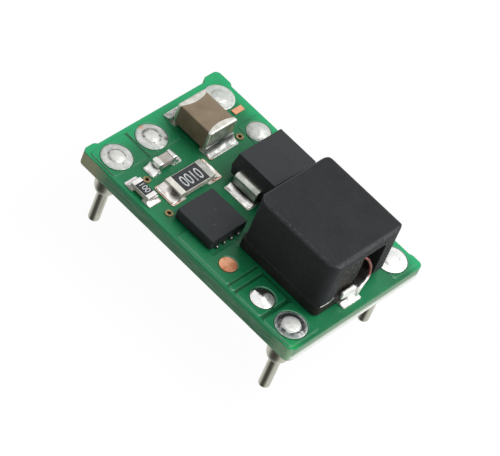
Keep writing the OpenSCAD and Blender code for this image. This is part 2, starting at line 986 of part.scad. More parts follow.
board();
copper_lands();
pin(0);  // pin_1
pin(1);  // pin_2
pin(2);  // pin_3
pin(3);  // pin_4
pin(4);  // pin_5
pin_solder(0);  // pin_solder_1
pin_solder(1);  // pin_solder_2
pin_solder(2);  // pin_solder_3
pin_solder(3);  // pin_solder_4
pin_solder(4);  // pin_solder_5
solder_dot(DOT_FRONT);  // solder_dot_front
solder_dot(DOT_REAR);  // solder_dot_rear
via(0);  // via_left
via(1);  // via_middle
via(2);  // via_rear
inductor_shield();
inductor_core();
inductor_winding();
inductor_base();
terminal(0);  // inductor_terminal_front
terminal(1);  // inductor_terminal_rear
inductor_adhesive();
inductor_solder();
diode_body();
diode_die();
diode_lead(-1);  // diode_lead_front
diode_lead(1);  // diode_lead_rear
diode_solder();
controller_body();
controller_die();
controller_heat_pad();
controller_leads();
controller_solder();
input_capacitor_body();
input_capacitor_end(-1);  // input_capacitor_end_left
input_capacitor_end(1);  // input_capacitor_end_right
input_capacitor_solder();
bypass_capacitor_body();
bypass_capacitor_end(-1);  // bypass_capacitor_end_front
bypass_capacitor_end(1);  // bypass_capacitor_end_rear
bypass_capacitor_solder();
sense_resistor_body();
sense_resistor_coat();
sense_resistor_end(-1);  // sense_resistor_end_front
sense_resistor_end(1);  // sense_resistor_end_rear
sense_resistor_solder();
set_resistor_body();
set_resistor_coat();
set_resistor_end(-1);  // set_resistor_end_left
set_resistor_end(1);  // set_resistor_end_right
set_resistor_solder();
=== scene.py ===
"""Looks of the open-frame power module: a masked board on five turned pins with its soldered parts."""
import json
import math

import bmesh
import bpy
from mathutils import Matrix, Vector, noise


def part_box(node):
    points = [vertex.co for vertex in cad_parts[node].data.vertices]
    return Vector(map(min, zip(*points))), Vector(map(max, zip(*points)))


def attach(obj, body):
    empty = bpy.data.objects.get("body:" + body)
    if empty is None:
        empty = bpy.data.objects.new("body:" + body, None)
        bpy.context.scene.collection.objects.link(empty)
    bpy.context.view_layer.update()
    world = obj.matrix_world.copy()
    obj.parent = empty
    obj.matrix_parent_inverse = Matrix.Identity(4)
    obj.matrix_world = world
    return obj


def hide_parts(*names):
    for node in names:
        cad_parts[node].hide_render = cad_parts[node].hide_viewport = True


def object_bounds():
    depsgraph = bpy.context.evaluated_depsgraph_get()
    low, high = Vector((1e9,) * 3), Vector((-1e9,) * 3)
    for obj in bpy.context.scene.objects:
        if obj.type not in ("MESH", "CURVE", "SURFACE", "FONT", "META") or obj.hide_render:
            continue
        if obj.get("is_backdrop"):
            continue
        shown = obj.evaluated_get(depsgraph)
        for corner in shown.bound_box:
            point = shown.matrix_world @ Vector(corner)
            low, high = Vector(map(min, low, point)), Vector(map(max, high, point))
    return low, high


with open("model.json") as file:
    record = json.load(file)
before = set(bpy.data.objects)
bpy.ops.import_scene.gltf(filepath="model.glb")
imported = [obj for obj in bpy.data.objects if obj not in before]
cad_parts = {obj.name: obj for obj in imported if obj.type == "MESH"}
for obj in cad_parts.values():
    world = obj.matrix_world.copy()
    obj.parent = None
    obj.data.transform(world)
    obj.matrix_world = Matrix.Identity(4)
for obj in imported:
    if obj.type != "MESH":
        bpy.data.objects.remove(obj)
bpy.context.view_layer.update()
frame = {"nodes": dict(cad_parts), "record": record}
NODES = frame["nodes"]
LAND_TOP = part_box("copper_lands")[1].z
MM = 0.001

NOISE, RANGE, MIX, MATH = "ShaderNodeTexNoise", "ShaderNodeMapRange", "ShaderNodeMix", "ShaderNodeMath"
BUMP, BEVEL, WAVE, SPLIT = "ShaderNodeBump", "ShaderNodeBevel", "ShaderNodeTexWave", "ShaderNodeSeparateXYZ"
TURN, GEOMETRY, VECTOR = "ShaderNodeMapping", "ShaderNodeNewGeometry", "ShaderNodeVectorMath"
# What makes a mix node one of colours, and the output that carries its colour
BLEND = {"out": 2, "data_type": "RGBA"}
# What most of a noise lies between
MIDRANGE = {"From Min": 0.35, "From Max": 0.65}


def colour(code):
    """Linear RGBA of an sRGB hex value."""
    parts = [int(code[i:i + 2], 16) / 255 for i in (1, 3, 5)]
    return (*(p / 12.92 if p <= 0.04045 else ((p + 0.055) / 1.055) ** 2.4 for p in parts), 1.0)


def add(tree, kind, links=(), out=0, **settings):
    """Adds a node and gives back one output: links fill its inputs, by key or in order, with sockets, constants or
    hex colours."""
    made = tree.nodes.new(kind)
    for name, value in settings.items():
        setattr(made, name, value)
    for key, value in links.items() if isinstance(links, dict) else enumerate(links):
        for each in value if isinstance(value, list) else [value]:
            if isinstance(each, bpy.types.NodeSocket):
                tree.links.new(each, made.inputs[key])
            else:
                made.inputs[key].default_value = colour(each) if isinstance(each, str) else each
    return made.outputs[out] if made.outputs else made


def per(size_mm):
    """Noise scale at which one feature is size_mm across, on coordinates in metres."""
    return 1 / (size_mm * MM)


def bands(size_mm):
    """Wave scale at which a light and a dark band are each about size_mm wide."""
    return per(size_mm) / 6.28


# Finishes

def start(name):
    """A new material, its tree and the piece's own coordinates."""
    made = bpy.data.materials.new(name)
    made.use_nodes = True
    made.node_tree.nodes.clear()
    return made, made.node_tree, add(made.node_tree, "ShaderNodeTexCoord", out="Object")


def seal(made, look):
    """Closes a material with one principled shader, whose inputs are sockets or constants."""
    shade = add(made.node_tree, "ShaderNodeBsdfPrincipled", look)
    add(made.node_tree, "ShaderNodeOutputMaterial", {"Surface": shade})
    return made


def patches(tree, place, size_mm, detail, low, high, most=1.0):
    """Cloudy patches about size_mm across: the noise, and how far it is from low to high, from 0 to most."""
    cloud = add(tree, NOISE, {"Vector": place, "Scale": per(size_mm), "Detail": detail})
    return cloud, add(tree, RANGE, {"Value": cloud, "From Min": low, "From Max": high, "To Max": most})


def layered(tree, tone, *layers):
    """A tone with others laid over it in turn, each by its share, from 0 to 1."""
    for share, tint in layers:
        tone = add(tree, MIX, {0: share, 6: tone, 7: tint}, **BLEND)
    return tone


def within(tree, axes, boxes, soft_mm):
    """How far a point is inside any of the boxes, from 0 to 1 over a soft edge, seen from above; each box is
    [middle x, middle y, half x, half y] in millimetres."""
    most = 0.0
    for box in boxes:
        sides = []
        for k in (0, 1):
            offset = add(tree, MATH, (axes[k], box[k] * MM), operation="SUBTRACT")
            reach = add(tree, MATH, {0: offset}, operation="ABSOLUTE")
            sides.append(add(tree, RANGE, {"Value": reach, "From Min": box[k + 2] * MM,
                                           "From Max": (box[k + 2] - soft_mm) * MM}))
        inside = add(tree, MATH, (sides[0], sides[1]), operation="MULTIPLY")
        most = add(tree, MATH, (most, inside), operation="MAXIMUM")
    return most


# Where mask has pooled in the narrow gaps between copper islands and shade is painted there, as boxes
POOLED_SHADE_GROOVES = [(-7.95, -2.88, 1.2, 0.2), (5.0, -4.6, 1.7, 1.4)]


def masked_laminate():
    """Green epoxy mask sprayed over copper on glass laminate: glossy and a little uneven, brighter along its edges
    and most at one corner, partly because no copper lies under it and partly as painted light through the laminate;
    painted shade darkens the gaps where mask has pooled thick, and painted highlights lie on the front and right
    edges of the copper islands and on their left walls near the left edge. The cut edge shows resin and glass
    layers under a smear of mask, with painted light that makes its right end face paler towards the foot and its
    front face lighter near the right corner."""
    made, tree, place = start("solder_mask_on_laminate")
    low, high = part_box("board")
    axes = add(tree, SPLIT, {"Vector": place}).node.outputs
    # How near a point is to the board's left, rear, right and front edge
    rim = [add(tree, RANGE, {"Value": axes[k], "From Min": inner, "From Max": outer}, interpolation_type="SMOOTHSTEP")
           for k, inner, outer in (
               (0, low.x + 2.5 * MM, low.x + 0.1 * MM), (1, high.y - 1.6 * MM, high.y - 0.1 * MM),
               (0, high.x - 1.2 * MM, high.x - 0.3 * MM), (1, low.y + 1.4 * MM, low.y + 0.3 * MM))]
    # Painted light: the edges and the corner are lighter partly for bare laminate under the mask and partly as light
    # through the laminate
    corner = add(tree, MATH, (rim[2], rim[3]), operation="MULTIPLY")
    edge = add(tree, MATH, (rim[0], rim[1]), operation="MAXIMUM")
    front_rim_light = add(tree, RANGE, {"Value": axes[1], "From Min": low.y + 0.7 * MM, "From Max": low.y + 0.2 * MM,
                                  "To Max": 0.15})
    edge = add(tree, MATH, (edge, front_rim_light), operation="MAXIMUM")
    # The ground between the islands, on the top face only
    ground = add(tree, RANGE, {"Value": axes[2], "From Min": high.z - 0.03 * MM, "From Max": high.z - 0.05 * MM,
                               "To Max": 0.75})
    step = add(tree, RANGE, {"Value": axes[2], "From Min": high.z - 0.11 * MM, "From Max": high.z - 0.09 * MM})
    ground = add(tree, MATH, (ground, step), operation="MULTIPLY")
    # Painted shade in the gaps, together with the darker pooled mask
    pooled_and_shaded = add(tree, MATH, (ground, within(tree, axes, POOLED_SHADE_GROOVES, 0.1)), operation="MULTIPLY")
    # The islands' edges, by the way that their rounded normal leans: painted highlights on their front and right edges,
    # and painted light on their left walls near the board's left edge
    soft_edge = add(tree, BEVEL, {"Radius": 0.11 * MM}, samples=6)
    lean = add(tree, SPLIT, {"Vector": soft_edge}).node.outputs
    left = add(tree, RANGE, {"Value": lean[0], "From Min": -0.1, "From Max": -0.5, "To Max": 0.7})
    left = add(tree, MATH, (left, rim[0]), operation="MULTIPLY")
    front = add(tree, RANGE, {"Value": lean[1], "From Min": -0.08, "From Max": -0.4, "To Max": 0.8})
    strip = add(tree, RANGE, {"Value": axes[0], "From Min": -3.0 * MM, "From Max": -1.5 * MM, "To Min": 0.6})
    front = add(tree, MATH, (front, strip), operation="MULTIPLY")
    side = add(tree, RANGE, {"Value": lean[0], "From Min": 0.2, "From Max": 0.6, "To Max": 0.14})
    # Painted highlight: the pale tone on the islands' front and right edges
    thin = add(tree, MATH, (front, side), operation="MAXIMUM")
    middle, half = (low + high) / (2 * MM), (high - low) / (2 * MM)
    inland = within(tree, axes, [(middle.x, middle.y, half.x - 0.08, half.y - 0.08)], 0.04)
    thin = add(tree, MATH, (thin, inland), operation="MULTIPLY")
    _, pour = patches(tree, place, 4.5, 2.0, 0.3, 0.7)
    _, dust = patches(tree, place, 0.12, 4.0, 0.66, 0.74, 0.2)
    green = layered(tree, "#0F623B", (pour, "#17764A"), (edge, "#1FA268"), (corner, "#0E9250"), (pooled_and_shaded, "#0A4829"),
                    (dust, "#7FC29F"), (left, "#35C489"), (thin, "#8FD3B2"))
    # The sawn edge: glass layers about 0.16 mm apart, drawn out along the board, and mask smeared down from the top
    drawn_out = add(tree, TURN, {"Vector": place, "Scale": (0.12, 0.12, 1.0)})
    _, plies = patches(tree, drawn_out, 0.16, 6.0, 0.3, 0.7)
    smear = add(tree, RANGE, {"Value": axes[2], "From Min": high.z - 0.5 * MM, "From Max": high.z - 0.1 * MM,
                              "To Max": 0.9})
    facing = add(tree, SPLIT, {"Vector": add(tree, GEOMETRY, out="True Normal")}).node.outputs
    # Painted light: the right end face, paler towards its foot
    end = add(tree, RANGE, {"Value": facing[0], "From Min": 0.5, "From Max": 0.8, "To Max": 0.9})
    down = add(tree, RANGE, {"Value": axes[2], "From Min": low.z + 0.64 * MM, "From Max": low.z + 0.22 * MM})
    painted_end_light = add(tree, MIX, {0: down, 6: "#7C967F", 7: "#F4F6F1"}, **BLEND)
    broken = add(tree, RANGE, {"Value": axes[0], "From Min": low.x + 2.6 * MM, "From Max": low.x + 1.4 * MM,
                               "To Max": 0.8})
    # Painted light: the front face, lighter near the right corner
    painted_corner_light = add(tree, RANGE, {"Value": axes[0], "From Min": high.x - 1.8 * MM, "From Max": high.x - 0.9 * MM,
                                "To Max": 0.85})
    ahead = add(tree, RANGE, {"Value": facing[1], "From Min": -0.3, "From Max": -0.7})
    painted_corner_light = add(tree, MATH, (painted_corner_light, ahead), operation="MULTIPLY")
    sawn = layered(tree, "#4A7F60", (plies, "#76A687"), (smear, "#2CA66C"), (end, painted_end_light), (broken, "#BDBB9A"),
                   (painted_corner_light, "#9CC4A0"))
    upright = add(tree, MATH, {0: facing[2]}, operation="ABSOLUTE")
    face = add(tree, RANGE, {"Value": upright, "From Min": 0.4, "From Max": 0.6})
    masked = add(tree, MATH, (face, step), operation="MAXIMUM")
    gloss = add(tree, NOISE, {"Vector": place, "Scale": per(0.8), "Detail": 4.0})
    shine = add(tree, RANGE, {"Value": gloss, **MIDRANGE, "To Min": 0.26, "To Max": 0.4})
    peel = add(tree, NOISE, {"Vector": place, "Scale": per(0.35), "Detail": 3.0})
    skin = add(tree, BUMP, {"Height": peel, "Distance": 0.012 * MM, "Normal": soft_edge})
    weave = [add(tree, WAVE, {"Vector": place, "Scale": bands(0.5), "Distortion": 1.2, "Detail": 1.0}, "Fac",
                 bands_direction=way) for way in ("X", "Y")]
    cloth = add(tree, MATH, (weave[0], weave[1]), operation="ADD")
    return seal(made, {
        "Base Color": add(tree, MIX, {0: masked, 6: sawn, 7: green}, **BLEND),
        "Specular IOR Level": 0.3,
        "Roughness": add(tree, MIX, {0: masked, 2: 0.75, 3: shine}),
        "Normal": add(tree, BUMP, {"Height": cloth, "Distance": 0.0012 * MM, "Normal": skin}),
    })


# Where the foil stayed bare of solder, as boxes: the disc and the bar
BARE_FOIL = [(2.3, -4.76, 0.7, 0.7), (-6.5, 5.1, 0.3, 0.55)]
# Where tin lies so thin that copper shows through, as boxes: the rims of the sense resistor's two lands
THIN_TIN = [(-3.9, -0.07, 1.0, 0.75), (-3.9, -4.33, 1.0, 0.75)]
# Where flux has stained the foil and shade is painted on it, as a box: the controller's lands
STAINED_AND_SHADED_FOIL = [(-0.78, -3.37, 2.08, 1.4)]


def copper_foil():
    """Etched copper foil: tinned wherever solder has run, darkened under the controller's leads by flux stain and
    painted shade, and bare at the marks, where it is pinkish orange and satin with brown oxide in patches."""
    made, tree, place = start("copper_foil")
    axes = add(tree, SPLIT, {"Vector": place}).node.outputs
    faint = add(tree, MATH, (within(tree, axes, THIN_TIN, 0.01), 0.5), operation="MULTIPLY")
    bare = add(tree, MATH, (within(tree, axes, BARE_FOIL, 0.01), faint), operation="MAXIMUM")
    flux_stain_and_shade = within(tree, axes, STAINED_AND_SHADED_FOIL, 0.01)
    stain, worn = patches(tree, place, 0.5, 4.0, 0.35, 0.65)
    grain = add(tree, NOISE, {"Vector": place, "Scale": per(0.06), "Detail": 3.0})
    copper = add(tree, MIX, {0: worn, 6: "#C07A58", 7: "#E3A785"}, **BLEND)
    tin = layered(tree, "#B9BAB4", (worn, "#DEDEDA"), (flux_stain_and_shade, "#2F4A3A"))
    return seal(made, {
        "Base Color": add(tree, MIX, {0: bare, 6: tin, 7: copper}, **BLEND),
        "Metallic": 1.0,
        "Roughness": add(tree, RANGE, {"Value": stain, **MIDRANGE, "To Min": 0.5, "To Max": 0.34}),
        "Normal": add(tree, BUMP, {"Height": grain, "Distance": 0.004 * MM}),
    })


def turned_pin_plate():
    """Tin plate on a turned brass pin: pale olive silver with fine turning rings, faint stains drawn down its length
    and one painted dark reflection, a streak along the side that faces the front."""
    made, tree, place = start("tin_plated_turned_brass")
    drawn_out = add(tree, TURN, {"Vector": place, "Scale": (1.0, 1.0, 0.12)})
    streak, stain = patches(tree, drawn_out, 0.4, 3.0, 0.5, 0.72, 0.5)
    flat = add(tree, GEOMETRY, out="Normal")
    # Painted reflection: the side that faces the front is darkened as a streak
    front = add(tree, VECTOR, (flat, (0.26, -0.966, 0.0)), "Value", operation="DOT_PRODUCT")
    wander = add(tree, RANGE, {"Value": streak, "To Min": -0.03, "To Max": 0.03})
    front = add(tree, MATH, (front, wander), operation="ADD")
    front_reflection_streak = add(tree, RANGE, {"Value": front, "From Min": 0.79, "From Max": 1.02},
                  interpolation_type="SMOOTHSTEP")
    dark = add(tree, MATH, (stain, front_reflection_streak), operation="MAXIMUM")
    rings = add(tree, WAVE, {"Vector": place, "Scale": bands(0.09), "Distortion": 2.0}, "Fac", bands_direction="Z")
    return seal(made, {
        "Base Color": add(tree, MIX, {0: dark, 6: "#B7B7AA", 7: "#33322A"}, **BLEND),
        "Metallic": 1.0,
        "Roughness": add(tree, RANGE, {"Value": dark, "To Min": 0.24, "To Max": 0.42}),
        "Normal": add(tree, BUMP, {"Height": rings, "Distance": 0.002 * MM}),
    })


def reflowed_solder(name, bright, dull, lump_mm, smooth, rough, depth_mm, metal=1.0, flux_and_shade_pool=None):
    """Reflowed tin solder: a bright skin, frosted in patches and finely specked with flux, and less like bare
    metal where dried flux has left a white bloom on it. A ragged pool, given as its middle, its reach along X and Y
    and its tint, darkens one spot and makes it matt: a patch of matt flux on the front dot, and at the chips' ends
    matt flux with painted shade and dark reflection beside the part."""
    made, tree, place = start(name)
    skin, frost = patches(tree, place, lump_mm, 4.0, 0.38, 0.62)
    layers = [(frost, dull)]
    matt = add(tree, RANGE, {"Value": frost, "To Min": smooth, "To Max": rough})
    if flux_and_shade_pool:
        middle, reach, tint = flux_and_shade_pool
        offset = add(tree, VECTOR, (place, middle), operation="SUBTRACT")
        share = add(tree, VECTOR, (offset, (1 / reach[0], 1 / reach[1], 0)), operation="MULTIPLY")
        spread = add(tree, VECTOR, (share, share), "Value", operation="DOT_PRODUCT")
        ragged = add(tree, NOISE, {"Vector": place, "Scale": per(0.2), "Detail": 4.0})
        wander = add(tree, RANGE, {"Value": ragged, "To Min": -0.6, "To Max": 0.6})
        spread = add(tree, MATH, (spread, wander), operation="ADD")
        near = add(tree, RANGE, {"Value": spread, "From Min": 1.2, "From Max": 0.1})
        layers.append((near, tint))
        matt = add(tree, MIX, {0: near, 2: matt, 3: 0.5})
        metal = add(tree, MIX, {0: near, 2: metal, 3: 0.3})
    _, specks = patches(tree, place, 0.1, 3.0, 0.64, 0.72, 0.5)
    return seal(made, {
        "Base Color": layered(tree, bright, *layers, (specks, "#77746C")),
        "Metallic": metal,
        "Roughness": matt,
        "Normal": add(tree, BUMP, {"Height": skin, "Distance": depth_mm * MM}),
    })


def fluxed_and_shaded_solder(pin, disc, rim, flux, ring_mm, cover, stains=()):
    """Solder round a pin's end: a bright disc and a rim that thins to grey green at its edge, with dark specks in the
    hollow ring between, partly flux and partly a painted dark reflection of the hollow, thickest on the far side. The
    cover is the share of the ring that the dark specks take, and stains are round spots at the rim, as offsets along X
    and Y, reach and tint."""
    made, tree, place = start("fluxed_and_shaded_solder_" + pin)
    low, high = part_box(pin)
    middle = (low + high) / 2
    offset = add(tree, VECTOR, (place, middle), operation="SUBTRACT")
    level = add(tree, VECTOR, (offset, (1, 1, 0)), operation="MULTIPLY")
    radius = add(tree, VECTOR, {0: level}, "Value", operation="LENGTH")
    ragged = add(tree, NOISE, {"Vector": place, "Scale": per(0.3), "Detail": 4.0})
    wander = add(tree, RANGE, {"Value": ragged, "To Min": -0.12 * MM, "To Max": 0.12 * MM})
    radius = add(tree, MATH, (radius, wander), operation="ADD")
    inner, outer = (each * MM for each in ring_mm)
    past = add(tree, RANGE, {"Value": radius, "From Min": inner, "From Max": inner + 0.08 * MM})
    short = add(tree, RANGE, {"Value": radius, "From Min": outer, "From Max": outer - 0.12 * MM})
    ring = add(tree, MATH, (past, short), operation="MULTIPLY")
    # Painted reflection: the dark ring is made thicker on the far side
    far = add(tree, VECTOR, (offset, (-1, 1, 0)), "Value", operation="DOT_PRODUCT")
    far = add(tree, RANGE, {"Value": far, "From Min": -1.2 * MM, "From Max": 1.2 * MM, "To Min": -0.16,
                            "To Max": 0.16})
    fine = add(tree, NOISE, {"Vector": place, "Scale": per(0.2), "Detail": 3.0})
    thick = add(tree, MATH, (fine, far), operation="ADD")
    flecks = add(tree, RANGE, {"Value": thick, "From Min": 0.66 - 0.4 * cover, "From Max": 0.78 - 0.4 * cover})
    dark = add(tree, MATH, (ring, flecks), operation="MULTIPLY")
    thin = add(tree, RANGE, {"Value": radius, "From Min": 0.92 * MM, "From Max": 1.04 * MM, "To Max": 0.6})
    _, bloom = patches(tree, place, 0.45, 3.0, 0.5, 0.66, 0.4)
    _, specks = patches(tree, place, 0.14, 2.0, 0.68, 0.74, 0.7)
    layers = [(past, rim), (thin, "#82958A"), (bloom, "#E6E0E2"), (specks, "#6E6B66")]
    for across, along, reach, tint in stains:
        spot = middle + Vector((across, along, 0)) * MM
        spot.z = LAND_TOP
        away = add(tree, VECTOR, (place, spot), "Value", operation="DISTANCE")
        near = add(tree, RANGE, {"Value": away, "From Min": reach * MM, "From Max": 0.3 * reach * MM, "To Max": 0.8})
        layers.append((near, tint))
    return seal(made, {
        "Base Color": layered(tree, disc, *layers, (dark, flux)),
        "Metallic": add(tree, RANGE, {"Value": dark, "To Min": 0.65, "To Max": 0.3}),
        "Roughness": add(tree, RANGE, {"Value": ragged, **MIDRANGE, "To Min": 0.5, "To Max": 0.62}),
        "Normal": add(tree, BUMP, {"Height": ragged, "Distance": 0.02 * MM}),
    })


def via_plating():
    """Copper barrel under a thin film of mask: tan, with darker stains."""
    made, tree, place = start("plated_via")
    _, worn = patches(tree, place, 0.15, 4.0, 0.35, 0.65)
    grain = add(tree, NOISE, {"Vector": place, "Scale": per(0.05)})
    return seal(made, {
        "Base Color": add(tree, MIX, {0: worn, 6: "#65573A", 7: "#A38C66"}, **BLEND),
        "Metallic": 0.7,
        "Roughness": add(tree, RANGE, {"Value": worn, "To Min": 0.55, "To Max": 0.35}),
        "Normal": add(tree, BUMP, {"Height": grain, "Distance": 0.004 * MM}),
    })


def ground_ferrite(name, low, high, worn):
    """Pressed and tumbled ferrite: charcoal, matt and finely pitted, paler where the edges are rubbed."""
    made, tree, place = start(name)
    _, mottle = patches(tree, place, 1.6, 6.0, 0.3, 0.7)
    rounded = add(tree, BEVEL, {"Radius": 0.16 * MM}, samples=6)
    flat = add(tree, GEOMETRY, out="Normal")
    turn = add(tree, VECTOR, (rounded, flat), "Value", operation="DOT_PRODUCT")
    rub = add(tree, RANGE, {"Value": turn, "From Min": 0.995, "From Max": 0.95})
    chips, patchy = patches(tree, place, 0.2, 4.0, 0.4, 0.7, 0.6)
    rub = add(tree, MATH, (rub, patchy), operation="MULTIPLY")
    tilt = add(tree, SPLIT, {"Vector": flat}, "Z")
    tumbled = add(tree, RANGE, {"Value": chips, **MIDRANGE, "To Min": 0.1, "To Max": 0.42})
    # Where a face leans from the level and from the upright
    for none, full in ((0.99, 0.88), (0.1, 0.4)):
        brow = add(tree, RANGE, {"Value": tilt, "From Min": none, "From Max": full})
        tumbled = add(tree, MATH, (tumbled, brow), operation="MULTIPLY")
    _, dust = patches(tree, place, 0.11, 4.0, 0.7, 0.76, 0.3)
    grit = add(tree, NOISE, {"Vector": place, "Scale": per(0.07), "Detail": 4.0})
    pits = add(tree, "ShaderNodeTexVoronoi", {"Vector": place, "Scale": per(0.3)})
    ground = add(tree, BUMP, {"Height": grit, "Distance": 0.008 * MM})
    return seal(made, {
        "Base Color": layered(tree, low, (mottle, high), (rub, worn), (tumbled, worn), (dust, worn)),
        "Specular IOR Level": 0.15,
        "Roughness": add(tree, RANGE, {"Value": chips, **MIDRANGE, "To Min": 0.55, "To Max": 0.72}),
        "Normal": add(tree, BUMP, {"Height": pits, "Distance": 0.004 * MM, "Normal": ground}),
    })


def enamelled_wire():
    """Red enamel on copper wire, tinned bright where it was dipped for the joint."""
    made, tree, place = start("enamelled_copper_wire")
    height = add(tree, SPLIT, {"Vector": place}, "Z")
    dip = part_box("inductor_base")[1].z
    dipped = add(tree, RANGE, {"Value": height, "From Min": dip + 0.42 * MM, "From Max": dip + 0.25 * MM})
    skin, thin = patches(tree, place, 0.25, 4.0, 0.35, 0.65)
    return seal(made, {
        "Base Color": layered(tree, "#5C2019", (thin, "#8E4136"), (dipped, "#EDECE8")),
        "Metallic": add(tree, RANGE, {"Value": dipped, "To Min": 0.2, "To Max": 0.8}),
        "Roughness": add(tree, RANGE, {"Value": thin, "To Min": 0.24, "To Max": 0.36}),
        "Normal": add(tree, BUMP, {"Height": skin, "Distance": 0.004 * MM}),
        "Coat Weight": 0.6,
        "Coat Roughness": 0.1,
    })


def moulded_compound(name, low, high):
    """Filled epoxy moulding: near black and satin from the mould, with pale filler grains and a few scuffs."""
    made, tree, place = start(name)
    cloud, mottle = patches(tree, place, 1.1, 6.0, 0.3, 0.7)
    _, filler = patches(tree, place, 0.07, 4.0, 0.64, 0.74, 0.3)
    drawn_out = add(tree, TURN, {"Vector": place, "Scale": (1.0, 0.15, 1.0)})
    _, scuffs = patches(tree, drawn_out, 0.2, 2.0, 0.69, 0.75, 0.3)
    grit = add(tree, NOISE, {"Vector": place, "Scale": per(0.09), "Detail": 3.0})
    soft_edge = add(tree, BEVEL, {"Radius": 0.06 * MM}, samples=6)
    return seal(made, {
        "Base Color": layered(tree, low, (mottle, high), (filler, "#6C6E72"), (scuffs, "#77797C")),
        "Specular IOR Level": 0.3,
        "Roughness": add(tree, RANGE, {"Value": cloud, **MIDRANGE, "To Min": 0.5, "To Max": 0.66}),
        "Normal": add(tree, BUMP, {"Height": grit, "Distance": 0.006 * MM, "Normal": soft_edge}),
    })


def cured_adhesive(name, low, high, depth_mm):
    """Adhesive pressed into a gap and cured: mottled, wet-looking and lumpy."""
    made, tree, place = start(name)
    lumps, mottle = patches(tree, place, 0.4, 4.0, 0.42, 0.6)
    _, flecks = patches(tree, place, 0.13, 3.0, 0.56, 0.68, 0.45)
    return seal(made, {
        "Base Color": layered(tree, low, (mottle, high), (flecks, "#7F7A72")),
        "Specular IOR Level": 0.08,
        "Roughness": add(tree, RANGE, {"Value": mottle, "To Min": 0.34, "To Max": 0.55}),
        "Normal": add(tree, BUMP, {"Height": lumps, "Distance": depth_mm * MM}),
    })


def fired_ceramic(name, low, high, grain_mm, layer_mm):
    """Fired dielectric or alumina: matt and faintly cloudy, with fine grain and thin pressed layers."""
    made, tree, place = start(name)
    cloud, mottle = patches(tree, place, 0.9, 5.0, 0.3, 0.7)
    grain = add(tree, NOISE, {"Vector": place, "Scale": per(grain_mm), "Detail": 3.0})
    rough = add(tree, BUMP, {"Height": grain, "Distance": 0.006 * MM})
    stack = add(tree, WAVE, {"Vector": place, "Scale": bands(layer_mm), "Distortion": 0.6}, "Fac",
                bands_direction="Z")
    return seal(made, {
        "Base Color": add(tree, MIX, {0: mottle, 6: low, 7: high}, **BLEND),
        "Specular IOR Level": 0.3,
        "Roughness": add(tree, RANGE, {"Value": cloud, **MIDRANGE, "To Min": 0.5, "To Max": 0.68}),
        "Normal": add(tree, BUMP, {"Height": stack, "Distance": 0.002 * MM, "Normal": rough}),
    })


def matt_tin(name, low, high, smooth, rough, metal=1.0, bent=None):
    """Plated tin: soft silver with a faintly warm, frosted skin, whiter and less like metal under dried flux. On a
    bent ribbon, given as a node, light runs smoothly over the bend, and painted shade darkens it towards its foot."""
    made, tree, place = start(name)
    cloud, frost = patches(tree, place, 0.5, 3.0, 0.35, 0.65)
    layers, bend = [(frost, high)], {}
    if bent:
        foot, top = (corner.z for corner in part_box(bent))
        height = add(tree, SPLIT, {"Vector": place}, "Z")
        painted_shade_to_foot = add(tree, RANGE, {"Value": height, "From Min": top - 0.12 * (top - foot), "From Max": foot},
                    interpolation_type="SMOOTHSTEP")
        # Painted shade towards the ribbon's foot
        layers.append((painted_shade_to_foot, "#3F4A42"))
        bend = {"Normal": add(tree, BEVEL, {"Radius": 0.1 * MM}, samples=8)}
    return seal(made, {
        "Base Color": layered(tree, low, *layers),
        "Metallic": metal,
        "Roughness": add(tree, RANGE, {"Value": frost, "To Min": rough, "To Max": smooth}),
        "Normal": add(tree, BUMP, {"Height": cloud, "Distance": 0.002 * MM, **bend}),
    })


def glass_coat():
    """Fired glass over a resistor film: black and satin, slightly wavy."""
    made, tree, place = start("resistor_glass_coat")
    waves, mottle = patches(tree, place, 0.3, 2.0, 0.35, 0.65)
    return seal(made, {
        "Base Color": add(tree, MIX, {0: mottle, 6: "#181B1D", 7: "#24282B"}, **BLEND),
        "Specular IOR Level": 0.4,
        "Roughness": add(tree, RANGE, {"Value": mottle, "To Min": 0.36, "To Max": 0.5}),
        "Normal": add(tree, BUMP, {"Height": waves, "Distance": 0.01 * MM}),
    })


def printed_white():
    """Screen-printed epoxy ink: off-white and matt, thin in places."""
    made, tree, place = start("white_print_ink")
    cover, thin = patches(tree, place, 0.12, 4.0, 0.35, 0.65)
    return seal(made, {
        "Base Color": add(tree, MIX, {0: thin, 6: "#A9ADB0", 7: "#DCDFE0"}, **BLEND),
        "Roughness": add(tree, RANGE, {"Value": thin, "To Min": 0.7, "To Max": 0.5}),
        "Normal": add(tree, BUMP, {"Height": cover, "Distance": 0.003 * MM}),
    })


